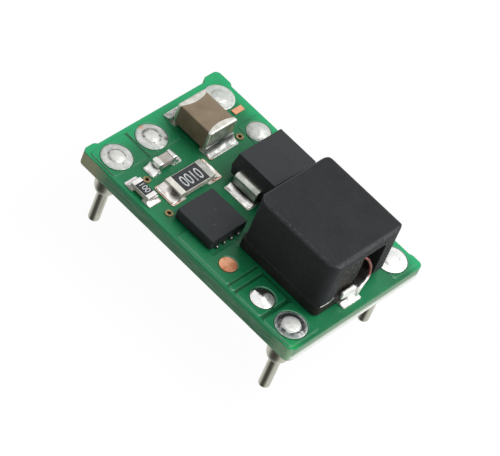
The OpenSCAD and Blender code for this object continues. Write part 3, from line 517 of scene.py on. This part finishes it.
FINISHES = {
    "solder_mask": masked_laminate(),
    "bare_copper": copper_foil(),
    "tinned_pin": turned_pin_plate(),
    "solder": reflowed_solder("reflowed_solder", "#F0F0EE", "#D2D2CE", 0.4, 0.22, 0.4, 0.012),
    "via_plate": via_plating(),
    "ferrite": ground_ferrite("ground_ferrite", "#232526", "#2A2C2E", "#66686A"),
    "core_ferrite": ground_ferrite("drum_ferrite", "#161718", "#1E1F20", "#44464A"),
    "enamelled_wire": enamelled_wire(),
    "base_plastic": moulded_compound("base_moulding", "#161413", "#211E1C"),
    "tinned_clip": matt_tin("tinned_clip", "#A9ADA6", "#CBCEC7", 0.36, 0.46),
    "adhesive": cured_adhesive("cured_adhesive", "#0D0C0B", "#241F1B", 0.05),
    "mould_compound": moulded_compound("epoxy_moulding", "#222426", "#2D2F32"),
    "silicon": matt_tin("lapped_silicon", "#6F7378", "#8D9197", 0.2, 0.35),
    "capacitor_ceramic": fired_ceramic("capacitor_dielectric", "#766753", "#8B7C67", 0.1, 0.12),
    "bypass_ceramic": fired_ceramic("pale_dielectric", "#A39C96", "#BAB3AD", 0.08, 0.1),
    "tin_termination": matt_tin("tin_termination", "#B7B6AC", "#D8D6CE", 0.36, 0.48),
    "alumina": fired_ceramic("alumina", "#BDB9AD", "#DAD7CE", 0.07, 0.2),
    "resistor_coat": glass_coat(),
}


def dress(mesh, skin):
    """Gives a mesh one finish."""
    mesh.materials.clear()
    mesh.materials.append(skin)


for part in frame["record"]["subparts"]:
    dress(NODES[part["node"]].data, FINISHES[part["material_slot"]])

# Parts whose finish differs from others of their slot
for skin, *nodes in (
        # The controller's lead ends are painted dark: a painted dark reflection
        (matt_tin("lead_ends_painted_dark", "#3E413C", "#5C5F59", 0.4, 0.5), "controller_leads"),
        (matt_tin("bent_tinned_ribbon", "#A9ADA6", "#CBCEC7", 0.32, 0.42, bent="diode_lead_front"),
         "diode_lead_front", "diode_lead_rear"),
        (matt_tin("flux_whitened_clip", "#E8E9E5", "#F8F8F6", 0.4, 0.5, 0.2), "inductor_terminal_front",
         "inductor_terminal_rear"),
        (moulded_compound("controller_moulding", "#1D2022", "#272B2D"), "controller_body"),
        (matt_tin("wetted_termination", "#D6D3D1", "#F0EEEB", 0.3, 0.42), "set_resistor_end_left",
         "set_resistor_end_right"),
        # The sense resistor's rear end is given a darker tone
        (matt_tin("darker_rear_termination", "#9C9D97", "#BABBB5", 0.36, 0.48), "sense_resistor_end_rear"),
        (matt_tin("bright_termination", "#C6C5C1", "#E4E3E0", 0.24, 0.34), "bypass_capacitor_end_front",
         "bypass_capacitor_end_rear")):
    for node in nodes:
        dress(NODES[node].data, skin)

GREY_SOLDER = reflowed_solder("grey_wave_solder", "#C6C9C4", "#B6B9B4", 0.3, 0.52, 0.64, 0.01, 0.65)
# Near white and little like metal: a flux bloom on the clip's joint, and painted highlights on the controller's beads
WHITE_FLUX_AND_GLINT_SOLDER = reflowed_solder("flux_whitened_and_glint_solder", "#FAFAF8", "#E6E6E2", 0.5, 0.4, 0.55, 0.015, 0.45)
PALE_SOLDER = reflowed_solder("pale_wave_solder", "#DEDFDD", "#D8D9D7", 0.4, 0.45, 0.58, 0.005, 0.5)
# The middle of the frosted patch on the front dot, a little to the right of the dot's own
DOT_FROST = sum(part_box("solder_dot_front"), Vector()) / 2 + Vector((0.37, 0.12, 0)) * MM
MIRROR_SOLDER = reflowed_solder("mirror_solder", "#FBFBFA", "#ECECEA", 0.6, 0.06, 0.2, 0.02,
                                flux_and_shade_pool=(DOT_FROST, (0.42 * MM, 0.4 * MM), "#8B908A"))
RING_SOLDER = {
    1: fluxed_and_shaded_solder("pin_1", "#C6C7C2", "#B6B8B4", "#74726F", (0.42, 0.68), 0.42, [(0.62, -0.05, 0.14, "#3E3E3C")]),
    2: fluxed_and_shaded_solder("pin_2", "#C6C7C2", "#B6B8B4", "#6A6865", (0.42, 0.74), 0.48,
                     [(-0.97, -0.08, 0.24, "#C98C6C"), (0.66, 0.72, 0.24, "#1E201E")]),
    4: fluxed_and_shaded_solder("pin_4", "#C8CAC6", "#7A817F", "#24272A", (0.6, 1.0), 0.75),
}
# A pale finish for the painted glint at the shield's foot
GLINT_GLUE = cured_adhesive("glint_glue", "#8C8C86", "#C9C9C2", 0.02)
INK = printed_white()


# Pieces that take the place of plain solids

def settle(piece, slot, *nodes):
    """Puts a finished piece under the model's root body, and hides the CAD nodes that it stands for."""
    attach(piece, "root")
    if nodes:
        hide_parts(*nodes)


def new_piece(name, data):
    """A new object in the scene."""
    piece = bpy.data.objects.new(name, data)
    bpy.context.scene.collection.objects.link(piece)
    return piece


def evaluated_mesh(piece):
    """The piece's mesh with its modifiers applied."""
    return bpy.data.meshes.new_from_object(piece.evaluated_get(bpy.context.evaluated_depsgraph_get()))


def geometry_tree(name, **inputs):
    """A new geometry tree with named inputs, and the sockets that carry them."""
    tree = bpy.data.node_groups.new(name, "GeometryNodeTree")
    for label, kind in inputs.items():
        tree.interface.new_socket(label, in_out="INPUT", socket_type="NodeSocket" + kind)
    tree.interface.new_socket("Geometry", in_out="OUTPUT", socket_type="NodeSocketGeometry")
    return tree, add(tree, "NodeGroupInput").node.outputs


def close_tree(tree, geometry, skin):
    """Ends a geometry tree: instances are made real, shaded smooth and given their finish."""
    real = add(tree, "GeometryNodeRealizeInstances", {"Geometry": geometry})
    smooth = add(tree, "GeometryNodeSetShadeSmooth", {"Geometry": real})
    dressed = add(tree, "GeometryNodeSetMaterial", {"Geometry": smooth, "Material": skin})
    add(tree, "NodeGroupOutput", {"Geometry": dressed})
    return tree


def grow(name, tree, **sizes):
    """A plain mesh object that a geometry tree makes from its named sizes."""
    piece = new_piece(name, bpy.data.meshes.new(name))
    step = piece.modifiers.new("grow", "NODES")
    step.node_group = tree
    for item in tree.interface.items_tree:
        if item.in_out == "INPUT":
            step[item.identifier] = sizes[item.name]
    grown = evaluated_mesh(piece)
    piece.modifiers.remove(step)
    piece.data = grown
    return piece


def solder_cap_tree():
    """Solder on a filled hole, turned about its axis: a dome, a skirt down to the land's rim, and a stem."""
    tree, size = geometry_tree(
        "solder_cap", centre="Vector", land_radius="Float", dome_radius="Float", stem_radius="Float", foot="Float",
        seat="Float", rim="Float", skirt_rise="Float", dome_rise="Float", fullness="Float", lump="Float", seed="Float",
        skin="Material")
    grid = add(tree, "GeometryNodeMeshGrid", {"Size X": 1.0, "Size Y": 1.0, "Vertices X": 97, "Vertices Y": 73})
    along = add(tree, SPLIT, {"Vector": add(tree, "GeometryNodeInputPosition")}).node.outputs
    # The profile's legs, each from 0 to 1: over the dome, down the skirt, under the rim, down the stem, to the axis
    over, down, under, stem, home = (
        add(tree, RANGE, {"Value": along[1], "From Min": low - 0.5, "From Max": high - 0.5})
        for low, high in ((0.0, 0.45), (0.45, 0.74), (0.76, 0.82), (0.82, 0.9), (0.9, 1.0)))
    skirt = add(tree, MATH, (size["land_radius"], size["dome_radius"]), operation="SUBTRACT")
    tuck = add(tree, MATH, (size["stem_radius"], size["land_radius"]), operation="SUBTRACT")
    radius = 0.0
    for leg, run in ((over, size["dome_radius"]), (down, skirt), (under, tuck)):
        radius = add(tree, MATH, (leg, run, radius), operation="MULTIPLY_ADD")
    last = add(tree, MATH, (home, size["stem_radius"]), operation="MULTIPLY")
    radius = add(tree, MATH, (radius, last), operation="SUBTRACT")
    bow = add(tree, MATH, (over, over), operation="MULTIPLY")
    bow = add(tree, MATH, (1.0, bow), operation="SUBTRACT")
    bow = add(tree, MATH, (bow, size["fullness"]), operation="POWER")
    left = add(tree, MATH, (1.0, down), operation="SUBTRACT")
    hollow = add(tree, MATH, (left, 2.0), operation="POWER")
    brim = add(tree, MATH, (down, 9.0), operation="POWER")
    brim = add(tree, MATH, (1.0, brim), operation="SUBTRACT")
    drop = add(tree, MATH, (size["foot"], size["seat"]), operation="SUBTRACT")
    height = size["seat"]
    for share, rise in ((bow, size["dome_rise"]), (hollow, size["skirt_rise"]), (brim, size["rim"]), (stem, drop)):
        height = add(tree, MATH, (share, rise, height), operation="MULTIPLY_ADD")
    angle = add(tree, MATH, (along[0], math.tau), operation="MULTIPLY")
    level = [add(tree, MATH, {0: add(tree, MATH, {0: angle}, operation=way), 1: radius}, operation="MULTIPLY")
             for way in ("COSINE", "SINE")]
    spot = add(tree, "ShaderNodeCombineXYZ", (level[0], level[1]))
    spot = add(tree, VECTOR, (spot, size["centre"]), operation="ADD")
    rough = add(tree, NOISE, {"Vector": spot, "W": size["seed"], "Scale": per(0.55), "Detail": 2.0},
                noise_dimensions="4D")
    rough = add(tree, MATH, (rough, 0.5), operation="SUBTRACT")
    rough = add(tree, MATH, (rough, size["lump"]), operation="MULTIPLY")
    height = add(tree, MATH, (rough, left, height), operation="MULTIPLY_ADD")
    lift = add(tree, "ShaderNodeCombineXYZ", {2: height})
    spot = add(tree, VECTOR, (spot, lift), operation="ADD")
    turned = add(tree, "GeometryNodeSetPosition", {"Geometry": grid, "Position": spot})
    outward = add(tree, "GeometryNodeFlipFaces", {"Mesh": turned})
    closed = add(tree, "GeometryNodeMergeByDistance", {"Geometry": outward, "Distance": 0.0005 * MM})
    return close_tree(tree, closed, size["skin"])


def solder_caps():
    """Solder on the five pins' ends, and on the two filled holes that have no pin."""
    tree = solder_cap_tree()
    pins = ((1, RING_SOLDER[1], 0.14, 0.6), (2, RING_SOLDER[2], 0.14, 0.6), (3, GREY_SOLDER, 0.14, 0.6),
            (4, RING_SOLDER[4], 0.13, 0.2), (5, PALE_SOLDER, 0.14, 0.6))
    caps = [(f"pin_cap_{number}", f"pin_solder_{number}", {
        "dome_radius": 0.6 * MM, "stem_radius": 0.63 * MM, "rim": 0.03 * MM, "skirt_rise": 0.04 * MM,
        "dome_rise": hump * MM, "fullness": fullness, "seed": 3.1 * number, "skin": skin})
        for number, skin, hump, fullness in pins]
    caps += [(node + "_dome", node, {
        "dome_radius": 0.8 * MM, "stem_radius": 0.4 * MM, "rim": 0.0, "skirt_rise": 0.02 * MM,
        "dome_rise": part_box(node)[1].z - LAND_TOP, "fullness": 0.8, "seed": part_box(node)[0].x * 1000, "skin": skin})
        for node, skin in (("solder_dot_front", MIRROR_SOLDER), ("solder_dot_rear", GREY_SOLDER))]
    for name, node, form in caps:
        low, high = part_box(node)
        cap = grow(name, tree, centre=Vector(((low.x + high.x) / 2, (low.y + high.y) / 2, 0)), foot=low.z,
                   seat=LAND_TOP, land_radius=(high.x - low.x) / 2, lump=0.03 * MM, **form)
        settle(cap, "solder", node)


def lead_bead_tree():
    """A row of solder beads along each of two sides, one bead on each lead's end."""
    tree, size = geometry_tree("lead_beads", first="Vector", second="Vector", pitch="Vector", leads="Int",
                               bead="Vector", seed="Int", skin="Material")
    rows = [add(tree, "GeometryNodeMeshLine", {"Count": size["leads"], "Start Location": size[side],
                                               "Offset": size["pitch"]}) for side in ("first", "second")]
    ends = add(tree, "GeometryNodeJoinGeometry", {"Geometry": rows})
    drop = add(tree, "GeometryNodeMeshIcoSphere", {"Radius": 1.0, "Subdivisions": 4})
    vary = add(tree, "FunctionNodeRandomValue", {
        "Min": (0.8, 0.9, 0.75), "Max": (1.15, 1.1, 1.2), "Seed": size["seed"]}, data_type="FLOAT_VECTOR")
    swell = add(tree, VECTOR, (vary, size["bead"]), operation="MULTIPLY")
    beads = add(tree, "GeometryNodeInstanceOnPoints", {"Points": ends, "Instance": drop, "Scale": swell})
    return close_tree(tree, beads, size["skin"])


def controller_beads():
    """Solder beads on the controller's leads, half sunk in their lands; their near-white finish paints their
    highlights.
    """
    low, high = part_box("controller_solder")
    leads, wide = 4, 0.32 * MM
    inset, lift = 0.07 * MM, 0.03 * MM
    pitch = (high.y - low.y - wide) / (leads - 1)
    first, second = (Vector((x, low.y + wide / 2, low.z + lift)) for x in (low.x + inset, high.x - inset))
    beads = grow("controller_beads", lead_bead_tree(), first=first, second=second, pitch=Vector((0, pitch, 0)),
                 leads=leads, bead=Vector((0.045, 0.07, 0.06)) * MM, seed=7, skin=WHITE_FLUX_AND_GLINT_SOLDER)
    settle(beads, "solder", "controller_solder")


def winding_tree():
    """Enamelled wire: close turns round the drum, and two ends that follow a path and thicken where it does."""
    tree, size = geometry_tree("winding", path="Object", wire_radius="Float", coil_radius="Float", coil_height="Float",
                               turns="Float", coil_foot="Vector", skin="Material")
    section = add(tree, "GeometryNodeCurvePrimitiveCircle", {"Resolution": 16, "Radius": size["wire_radius"]})
    route = add(tree, "GeometryNodeObjectInfo", {"Object": size["path"]}, "Geometry")
    ends = add(tree, "GeometryNodeCurveToMesh", {
        "Curve": route, "Profile Curve": section, "Scale": add(tree, "GeometryNodeInputRadius"), "Fill Caps": True})
    spiral = add(tree, "GeometryNodeCurveSpiral", {
        "Resolution": 48, "Rotations": size["turns"], "Start Radius": size["coil_radius"],
        "End Radius": size["coil_radius"], "Height": size["coil_height"]})
    turns = add(tree, "GeometryNodeCurveToMesh", {"Curve": spiral, "Profile Curve": section, "Fill Caps": True})
    inside = add(tree, "GeometryNodeMeshCylinder", {
        "Vertices": 64, "Radius": size["coil_radius"], "Depth": size["coil_height"]})
    half = add(tree, MATH, (size["coil_height"], 0.5), operation="MULTIPLY")
    lift = add(tree, "ShaderNodeCombineXYZ", {2: half})
    inside = add(tree, "GeometryNodeTransform", {"Geometry": inside, "Translation": lift})
    coil = add(tree, "GeometryNodeJoinGeometry", {"Geometry": [turns, inside]})
    coil = add(tree, "GeometryNodeTransform", {"Geometry": coil, "Translation": size["coil_foot"]})
    wound = add(tree, "GeometryNodeJoinGeometry", {"Geometry": [ends, coil]})
    return close_tree(tree, wound, size["skin"])


def thread(route, points):
    """A smooth run through a curve's points, each a place and a thickness."""
    run = route.splines.new("NURBS")
    run.points.add(len(points) - 1)
    for point, (*place, thick) in zip(run.points, points):
        point.co = (*place, 1)
        point.radius = thick
    run.order_u = 3
    run.use_endpoint_u = True
    run.resolution_u = 12


# The winding's end from the coil to its clip: out from the shield's end face, along Y from the inductor's middle,
# up from the lands, and how thick it is against the bare wire, for its tinned end
WIRE_END = [
    (-1.05, 0.49, 2.62, 1.0), (-0.45, 0.93, 2.6, 1.0), (-0.28, 1.15, 2.36, 1.0), (-0.13, 1.4, 1.82, 1.0),
    (-0.03, 1.42, 1.4, 1.0), (0.06, 1.34, 1.12, 1.0), (0.16, 1.05, 0.97, 1.05), (0.26, 0.63, 0.97, 1.2),
    (0.3, 0.34, 0.94, 1.5), (0.3, 0.24, 0.62, 1.7), (0.3, 0.2, 0.24, 1.7),
]


def winding():
    """The coil between the drum's flanges, with one end led out through each window."""
    low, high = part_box("inductor_base")
    middle = (low + high) / 2
    route = bpy.data.curves.new("wire_ends", "CURVE")
    route.dimensions = "3D"
    for face, way in ((high.x, 1), (low.x, -1)):
        thread(route, [(face + way * out * MM, middle.y + across * MM, low.z + up * MM, thick)
                       for out, across, up, thick in WIRE_END])
    path = new_piece("wire_ends", route)
    core_low, core_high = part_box("inductor_core")
    flange, wire, coil = 0.5 * MM, 0.2 * MM, 2.38 * MM
    space = core_high.z - core_low.z - 2 * flange - wire
    wound = grow(
        "wound_wire", winding_tree(), path=path, wire_radius=wire / 2, coil_radius=coil, coil_height=space,
        turns=float(int(space / wire)), coil_foot=Vector((middle.x, middle.y, core_low.z + flange + wire / 2)),
        skin=FINISHES["enamelled_wire"])
    bpy.data.objects.remove(path)
    settle(wound, "enamelled_wire", "inductor_winding")


def soft_solder(name, nodes, skin, replaced, seed, swell=0.03, lump=0.03):
    """Reflowed joints: CAD fillets grown together, rounded over and made a little lumpy; sizes in millimetres.
    They are remeshed on a copy in millimetres, because a voxel can't be as small as this in metres."""
    voxel, rounds, lump_size = 0.03, 8, 0.5
    fillets = bmesh.new()
    for node in nodes:
        fillets.from_mesh(NODES[node].data)
    bmesh.ops.remove_doubles(fillets, verts=fillets.verts, dist=1e-7)
    bmesh.ops.scale(fillets, vec=(1 / MM,) * 3, verts=fillets.verts)
    mesh = bpy.data.meshes.new(name)
    fillets.to_mesh(mesh)
    fillets.free()
    piece = new_piece(name, mesh)
    melt = piece.modifiers.new("melt", "REMESH")
    melt.mode = "VOXEL"
    melt.voxel_size = voxel
    ease = piece.modifiers.new("ease", "SMOOTH")
    ease.factor = 0.5
    ease.iterations = rounds
    melted = evaluated_mesh(piece)
    piece.modifiers.clear()
    piece.data = melted
    moves = [v.normal * (swell + lump * noise.noise(v.co / lump_size + Vector((seed, 0, 0))))
             for v in melted.vertices]
    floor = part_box(nodes[0])[0].z
    for v, move in zip(melted.vertices, moves):
        v.co = (v.co + move) * MM
        v.co.z = max(v.co.z, floor)
    for face in melted.polygons:
        face.use_smooth = True
    dress(melted, skin)
    settle(piece, "solder", *replaced)


def chip_joints():
    """The solder at both ends of each chip, of the diode and of the inductor's clips."""
    # Each part with its two ends, the axis that they lie on and the end where flux has pooled and painted shade and
    # dark reflection lie; that pool's shift, reach along X and Y and tint; then the solder's bright and dull tones, how
    # lumpy it is and how smooth
    for k, (part, first, last, axis, side, (shift, *reach), tint, bright, dull, lump, smooth) in enumerate((
            ("input_capacitor", "end_left", "end_right", 0, 1, (0.0, 0.28, 1.3), "#2C3831",
             "#B9BAB7", "#959693", 0.06, 0.36),
            ("bypass_capacitor", "end_front", "end_rear", 1, 0, (0.0, 0.5, 0.12), "#4A5046",
             "#F4F4F2", "#DCDCDA", 0.06, 0.24),
            ("sense_resistor", "end_front", "end_rear", 1, 0, (0.3, 0.62, 0.4), "#3F3934",
             "#EDE9E6", "#CFC8C3", 0.07, 0.24),
            ("set_resistor", "end_left", "end_right", 0, 1, (0.0, 0.12, 0.35), "#77706A",
             "#EAE7E6", "#CFCAC9", 0.06, 0.4),
            ("diode", "lead_front", "lead_rear", 1, 0, (0.0, 1.15, 0.18), "#1F2421",
             "#F0EEEC", "#CDC9C6", 0.05, 0.3))):
        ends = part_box(f"{part}_{first}")[0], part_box(f"{part}_{last}")[1]
        middle = (ends[0] + ends[1]) / 2
        middle[axis] = ends[side][axis]
        middle[1 - axis] += shift * MM
        # Painted shade and dark reflection against the part's end, with matt flux
        skin = reflowed_solder(f"{part}_joint_solder", bright, dull, 0.4, smooth, smooth + 0.18, 0.012,
                               flux_and_shade_pool=(middle, [each * MM for each in reach], tint))
        node = part + "_solder"
        soft_solder(node + "_joint", [node], skin, [node], seed=5.3 * k, lump=lump)
    soft_solder("clip_joint", ["inductor_solder", "inductor_terminal_front", "inductor_terminal_rear"],
                WHITE_FLUX_AND_GLINT_SOLDER, ["inductor_solder"], seed=31.0, swell=0.05)


def printed_digits(name, digits, node, wide, tall, turn):
    """Plain digits printed on a resistor's coat: a thin skin of ink on its top face."""
    low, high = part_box(node)
    words = bpy.data.curves.new(name, "FONT")
    words.body = digits
    words.align_x, words.align_y = "CENTER", "CENTER"
    words.size = 1.4
    words.extrude = 0.006
    words.resolution_u = 4
    text = new_piece(name + "_text", words)
    mesh = evaluated_mesh(text)
    bpy.data.objects.remove(text)
    place = Matrix.Translation(((low.x + high.x) / 2, (low.y + high.y) / 2, high.z + 0.003 * MM))
    mesh.transform(place @ Matrix.Rotation(turn, 4, "Z") @ Matrix.Diagonal((wide * MM, tall * MM, MM, 1)))
    dress(mesh, INK)
    settle(new_piece(name, mesh), None)


def shield_foot_bead():
    """A thin pale bead along the foot of the shield's front pillar on the base: a painted glint for the light on the
    pillar's rounded foot.
    """
    low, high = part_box("inductor_base")
    route = bpy.data.curves.new("shield_foot_bead", "CURVE")
    route.dimensions = "3D"
    route.bevel_depth = 0.035 * MM
    route.bevel_resolution = 3
    route.use_fill_caps = True
    # Out from the base's end face, along Y from its front corner and up from its foot
    points = [(0.0, 0.2, 0.88), (0.01, 0.55, 0.83), (0.015, 1.0, 0.8), (0.015, 1.25, 0.9), (0.01, 1.36, 1.08)]
    thread(route, [(high.x + out * MM, low.y + across * MM, low.z + up * MM, 1.0) for out, across, up in points])
    path = new_piece("shield_foot_path", route)
    mesh = evaluated_mesh(path)
    bpy.data.objects.remove(path)
    dress(mesh, GLINT_GLUE)
    settle(new_piece("shield_foot_bead", mesh), "adhesive")


solder_caps()
controller_beads()
winding()
chip_joints()
printed_digits("sense_digits", "0100", "sense_resistor_coat", wide=0.62, tall=0.92, turn=-math.pi / 2)
printed_digits("set_digits", "100", "set_resistor_coat", wide=0.4, tall=0.46, turn=0.0)
shield_foot_bead()

# Stage: camera, light and floor

# The view of the photograph: turn, height and roll in degrees, distance and offsets in millimetres,
# focal length and width of the picture in pixels; measured about the underside of the board
VIEW = {"turn": 26.6355, "height": 46.867, "roll": 23.6449, "distance": 221.4696, "right": -0.0509, "up": 0.5031,
        "focal": 3495.53, "width": 500}


def place_camera():
    """The camera that took the photograph, as far as it could be fitted."""
    turn, height, roll = (math.radians(VIEW[k]) for k in ("turn", "height", "roll"))
    back = Vector((math.sin(turn) * math.cos(height), -math.cos(turn) * math.cos(height), math.sin(height)))
    level = (-back).cross(Vector((0, 0, 1))).normalized()
    upright = level.cross(-back)
    right = math.cos(roll) * level + math.sin(roll) * upright
    up = -math.sin(roll) * level + math.cos(roll) * upright
    eye = back * VIEW["distance"] - right * VIEW["right"] - up * VIEW["up"]
    underside = Vector((0, 0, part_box("board")[0].z))
    camera = bpy.data.cameras.new("camera")
    camera.sensor_width = 36.0
    camera.lens = VIEW["focal"] / VIEW["width"] * camera.sensor_width
    camera.clip_start, camera.clip_end = 0.01, 10.0
    seen = new_piece("camera", camera)
    seen.matrix_world = Matrix.Translation(eye * MM + underside) @ Matrix((right, up, back)).transposed().to_4x4()
    bpy.context.scene.camera = seen


def soft_box(name, place_mm, target_mm, side_mm, level):
    """A square lamp whose light on a facing surface at the target is about level times white."""
    aim = Vector(target_mm) - Vector(place_mm)
    lamp = bpy.data.lights.new(name, "AREA")
    lamp.size = side_mm * MM
    lamp.energy = level * math.pi ** 2 * (aim.length * MM) ** 2
    made = new_piece(name, lamp)
    made.matrix_world = Matrix.Translation(Vector(place_mm) * MM) @ aim.to_track_quat("-Z", "Y").to_matrix().to_4x4()


def looked_at(tree):
    """1 where the camera or a reflection looks, straight or through something, and 0 for other light."""
    path = add(tree, "ShaderNodeLightPath").node.outputs
    seen = add(tree, MATH, (path["Is Camera Ray"], path["Is Glossy Ray"]), operation="MAXIMUM")
    return add(tree, MATH, (seen, path["Is Transmission Ray"]), operation="MAXIMUM")


def studio():
    """White surroundings for the camera and for reflections, light that falls off to the front, and a pale floor."""
    world = bpy.data.worlds.new("studio")
    bpy.context.scene.world = world
    world.use_nodes = True
    tree = world.node_tree
    tree.nodes.clear()
    way = add(tree, "ShaderNodeTexCoord", out="Generated")
    side = add(tree, VECTOR, (way, (0.45, 0.5, 0.74)), "Value", operation="DOT_PRODUCT")
    room = add(tree, RANGE, {"Value": side, "From Min": -0.3, "From Max": 0.9, "To Min": 0.06, "To Max": 0.7})
    shown = add(tree, MIX, {0: looked_at(tree), 2: room, 3: 1.0})
    sky = add(tree, "ShaderNodeBackground", {"Strength": shown, "Color": "#FFFFFF"})
    add(tree, "ShaderNodeOutputWorld", {"Surface": sky})

    ground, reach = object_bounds()[0].z, 1.5
    mesh = bpy.data.meshes.new("floor")
    corners = [(x * reach, y * reach, ground) for x, y in ((-1, -1), (1, -1), (1, 1), (-1, 1))]
    mesh.from_pydata(corners, [], [(0, 1, 2, 3)])
    floor = new_piece("floor", mesh)
    paper, tree, _ = start("white_paper_floor")
    glow = add(tree, "ShaderNodeEmission", {"Color": "#FFFFFF", "Strength": 1.05})
    matt = add(tree, "ShaderNodeBsdfDiffuse", {"Color": "#B4B4B2"})
    share = add(tree, MATH, (looked_at(tree), 0.92), operation="MULTIPLY")
    lit = add(tree, "ShaderNodeMixShader", (share, matt, glow))
    add(tree, "ShaderNodeOutputMaterial", {"Surface": lit})
    dress(mesh, paper)
    floor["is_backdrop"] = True

    soft_box("key_softbox", (45, 60, 140), (0, 0, 4), side_mm=110, level=0.75)
    soft_box("end_softbox", (150, 10, 50), (0, 0, 4), side_mm=80, level=0.36)


place_camera()
studio()
bpy.context.scene.view_settings.view_transform = "Standard"
